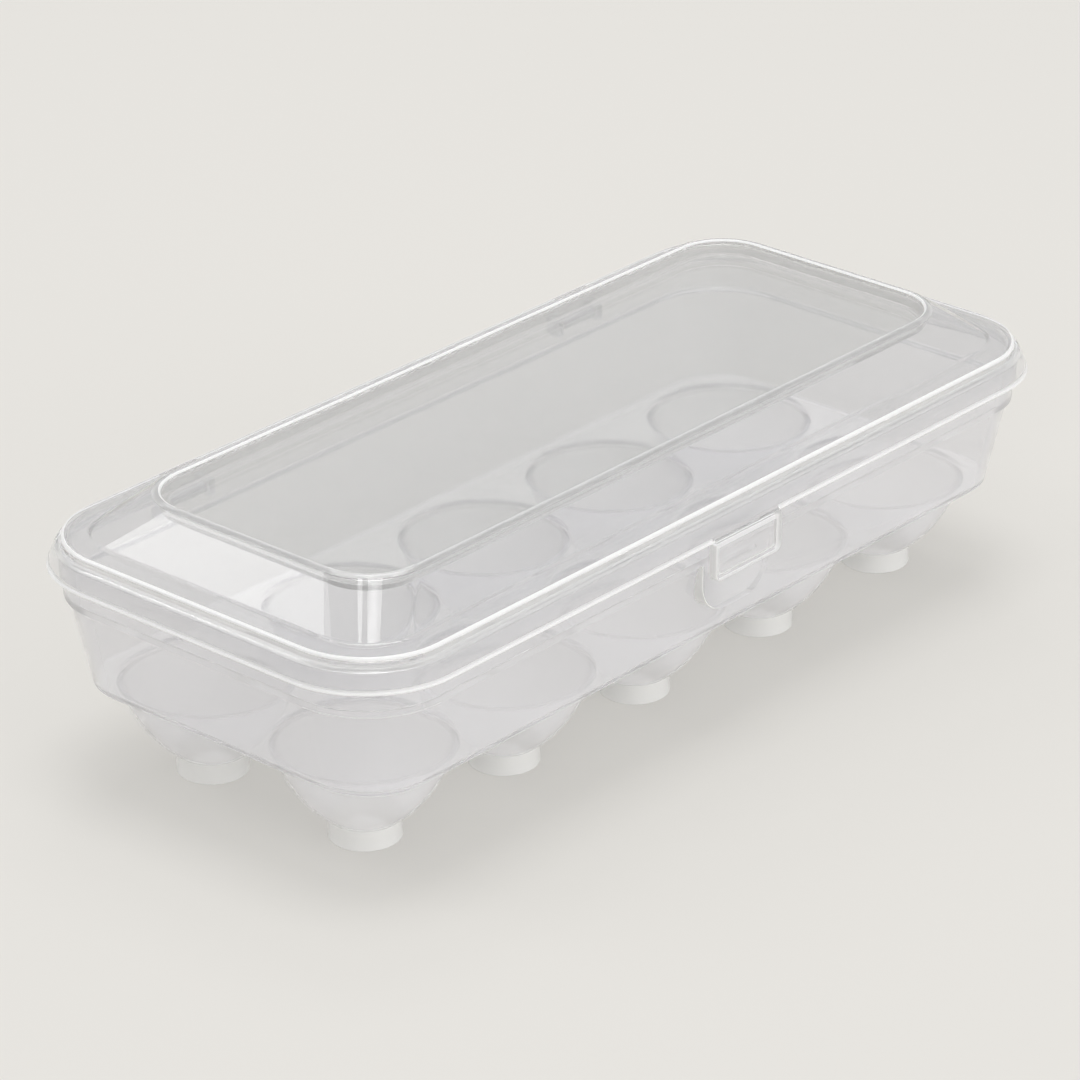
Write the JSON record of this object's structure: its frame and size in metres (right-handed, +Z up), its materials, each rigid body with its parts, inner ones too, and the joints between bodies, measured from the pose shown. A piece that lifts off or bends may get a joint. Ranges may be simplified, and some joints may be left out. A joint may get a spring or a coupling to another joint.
{
  "type": "egg keeper with flip lid",
  "caption": "Clear moulded egg keeper: a tray with two rows of footed cups under a flip lid that hinges at the back and closes with a front latch tab.",
  "frame": {"origin": "on the table, under the middle of the keeper", "axes": "+Z up, +X along the two rows of cups, +Y towards the hinges, so the latch faces -Y"},
  "size_m": [0.252, 0.1158, 0.0699],
  "materials": {
    "tray_plastic": "clear moulded plastic, slightly hazy, with a faint lavender cast and milky feet",
    "lid_plastic": "clear glossy moulded plastic, slightly hazy"
  },
  "bodies": {
    "tray": {"tray_floor": "tray_plastic", "tray_wall": "tray_plastic", "tray_rim": "tray_plastic", "latch_catch": "tray_plastic", "hinge_ears_left": "tray_plastic", "hinge_ears_right": "tray_plastic", "egg_cup_front_1": "tray_plastic", "egg_cup_front_2": "tray_plastic", "egg_cup_front_3": "tray_plastic", "egg_cup_front_4": "tray_plastic", "egg_cup_front_5": "tray_plastic", "egg_cup_back_1": "tray_plastic", "egg_cup_back_2": "tray_plastic", "egg_cup_back_3": "tray_plastic", "egg_cup_back_4": "tray_plastic", "egg_cup_back_5": "tray_plastic"},
    "lid": {"lid_skirt": "lid_plastic", "lid_shoulder": "lid_plastic", "lid_dome": "lid_plastic", "lid_crest": "lid_plastic", "lid_panel": "lid_plastic", "hinge_knuckle_left": "lid_plastic", "hinge_knuckle_right": "lid_plastic"},
    "latch": {"latch_tab": "lid_plastic"}
  },
  "joints": [
    {"name": "lid_hinge", "type": "hinge", "parent": "tray", "child": "lid", "pos_m": [0, 0.05593, 0.0506], "axis": [-1, 0, 0], "range_deg": [0, 180]},
    {"name": "latch_flex", "type": "hinge", "parent": "lid", "child": "latch", "pos_m": [0, -0.0578, 0.05315], "axis": [-1, 0, 0], "range_deg": [0, 20], "stiffness_Nm_per_rad": 0.02}
  ]
}
